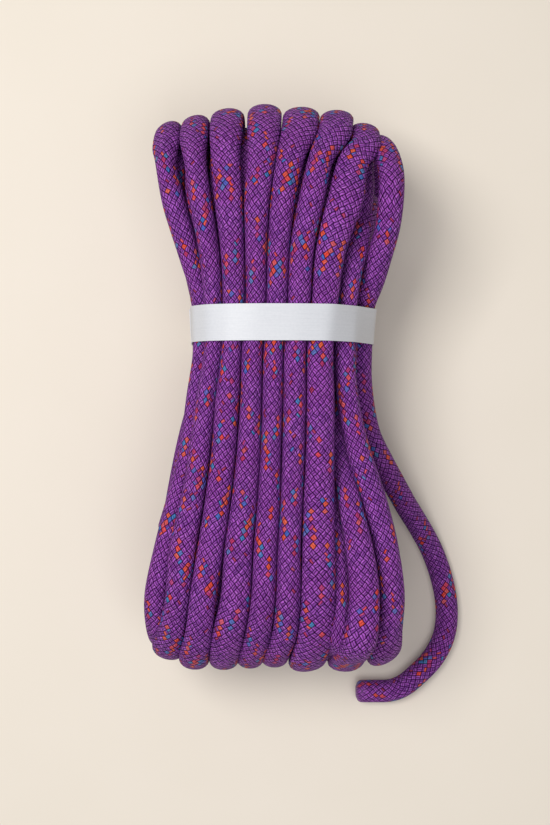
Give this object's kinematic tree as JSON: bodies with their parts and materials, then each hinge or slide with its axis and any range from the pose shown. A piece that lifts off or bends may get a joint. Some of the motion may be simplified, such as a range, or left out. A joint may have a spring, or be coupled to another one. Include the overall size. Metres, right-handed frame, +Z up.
{
  "type": "climbing rope",
  "caption": "Braided climbing rope wound as a flat hank, held at its waist by a paper band, with one fused end lying loose beside it.",
  "frame": {"origin": "middle of the paper band's underside, on the surface that the hank lies on", "axes": "+Z up, +Y along the hank towards its end without the loose tail, +X towards the side on which the tail lies"},
  "size_m": [0.1528, 0.2885, 0.096],
  "materials": {
    "rope_sheath": "braided polyamide, satin",
    "core_yarn": "plied white polyamide",
    "fused_end": "melted polyamide, smooth",
    "paper": "coated paper, slightly glossy"
  },
  "bodies": {
    "root": {"paper_band": "paper", "outer_turns": "rope_sheath", "inner_turns": "rope_sheath", "tail_sheath": "rope_sheath", "tail_tip": "fused_end", "first_end": "rope_sheath", "first_tip": "fused_end", "core_strand_01": "core_yarn", "core_strand_02": "core_yarn", "core_strand_03": "core_yarn", "core_strand_04": "core_yarn", "core_strand_05": "core_yarn", "core_strand_06": "core_yarn", "core_strand_07": "core_yarn", "core_strand_08": "core_yarn", "core_strand_09": "core_yarn", "core_strand_10": "core_yarn", "core_strand_11": "core_yarn", "core_strand_12": "core_yarn"}
  },
  "joints": []
}
